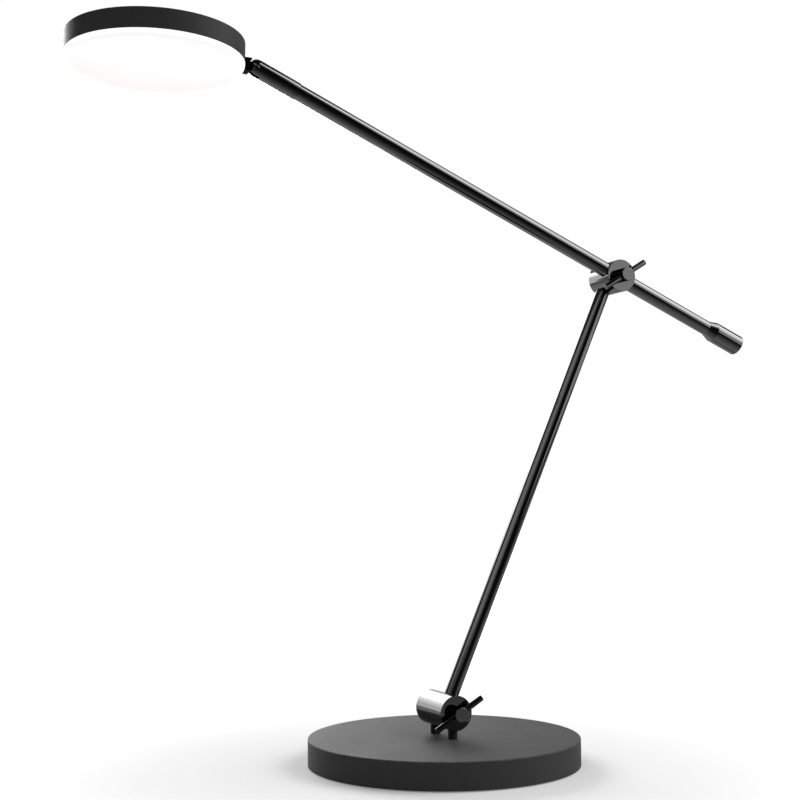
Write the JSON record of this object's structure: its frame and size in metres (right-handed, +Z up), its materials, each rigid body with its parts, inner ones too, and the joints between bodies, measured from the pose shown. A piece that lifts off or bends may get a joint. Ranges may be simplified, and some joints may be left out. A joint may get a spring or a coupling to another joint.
{
  "type": "desk lamp",
  "caption": "Two-arm desk lamp on a round weighted base, with clamp joints locked by T-screws, a small tail weight and a flat round LED head.",
  "frame": {"origin": "centre of the foot pad's face, on the table", "axes": "+Z up; the arms move in planes parallel to XZ, the head reaches towards -X, the tail weight towards +X, the clamp bars are on the -Y side"},
  "size_m": [0.6213, 0.225, 0.5728],
  "materials": {
    "base_paint": "matt black powder coat",
    "head_paint": "matt black coat",
    "black_chrome": "polished black chrome",
    "sleeve_black": "polished black chrome",
    "post_black": "satin black",
    "bracket_black": "satin black",
    "ballast_iron": "rough cast",
    "zinc_steel": "zinc plated",
    "screw_steel": "satin",
    "pad_rubber": "matt",
    "circuit_board": "green solder mask",
    "black_plastic": "moulded",
    "washer_plastic": "moulded",
    "lead_sheath": "extruded",
    "board_white": "white solder mask",
    "led_yellow": "phosphor",
    "reflector_white": "white",
    "opal": "satin opal, lit"
  },
  "bodies": {
    "base": {"base_shell": "base_paint", "ballast_plate": "ballast_iron", "base_cover": "zinc_steel", "cover_screws": "screw_steel", "foot_pad": "pad_rubber", "post_screws": "screw_steel", "driver_board": "circuit_board", "driver_screws": "screw_steel", "power_inlet": "black_plastic", "post_front": "post_black", "post_rear": "post_black", "base_knuckle_front": "black_chrome", "base_knuckle_rear": "black_chrome"},
    "lower_arm": {"arm_knuckle": "black_chrome", "base_washers": "washer_plastic", "lower_arm_tube": "black_chrome", "lower_arm_grommets": "washer_plastic", "lower_arm_lead": "lead_sheath", "top_knuckle_rear": "black_chrome", "top_washer": "washer_plastic"},
    "base_clamp": {"base_clamp_screw": "black_chrome", "base_clamp_bar": "black_chrome"},
    "top_clamp": {"top_clamp_screw": "black_chrome", "top_clamp_bar": "black_chrome"},
    "upper_arm": {"top_knuckle_front": "black_chrome", "upper_arm_tube": "black_chrome", "upper_arm_grommets": "washer_plastic", "upper_arm_lead": "lead_sheath", "counterweight": "black_chrome", "swivel_grub_screw": "screw_steel"},
    "swivel": {"swivel_sleeve": "sleeve_black", "hinge_pin": "screw_steel"},
    "head": {"hinge_bracket": "bracket_black", "bracket_screws": "screw_steel", "head_housing": "head_paint", "led_board": "board_white", "leds": "led_yellow", "led_board_screws": "screw_steel", "reflector_ring": "reflector_white", "diffuser": "opal"}
  },
  "joints": [
    {"name": "base_tilt", "type": "hinge", "parent": "base", "child": "lower_arm", "pos_m": [0, -0.0032, 0.0437], "axis": [0, 1, 0], "range_deg": [-60, 45]},
    {"name": "arm_tilt", "type": "hinge", "parent": "lower_arm", "child": "upper_arm", "pos_m": [0.16793, -0.01825, 0.41389], "axis": [0, 1, 0], "range_deg": [-60, 60]},
    {"name": "head_swivel", "type": "hinge", "parent": "upper_arm", "child": "swivel", "pos_m": [-0.16914, -0.01825, 0.55906], "axis": [-0.9184, 0, 0.3955], "range_deg": [-90, 90]},
    {"name": "head_tilt", "type": "hinge", "parent": "swivel", "child": "head", "pos_m": [-0.16914, -0.01825, 0.55906], "axis": [0, 1, 0], "range_deg": [-35, 75]},
    {"name": "base_clamp_turn", "type": "hinge", "parent": "base", "child": "base_clamp", "pos_m": [0, -0.0282, 0.0437], "axis": [0, -1, 0], "range_deg": [-75, 15]},
    {"name": "top_clamp_turn", "type": "hinge", "parent": "lower_arm", "child": "top_clamp", "pos_m": [0.16793, -0.03085, 0.41389], "axis": [0, -1, 0], "range_deg": [0, 180]}
  ]
}
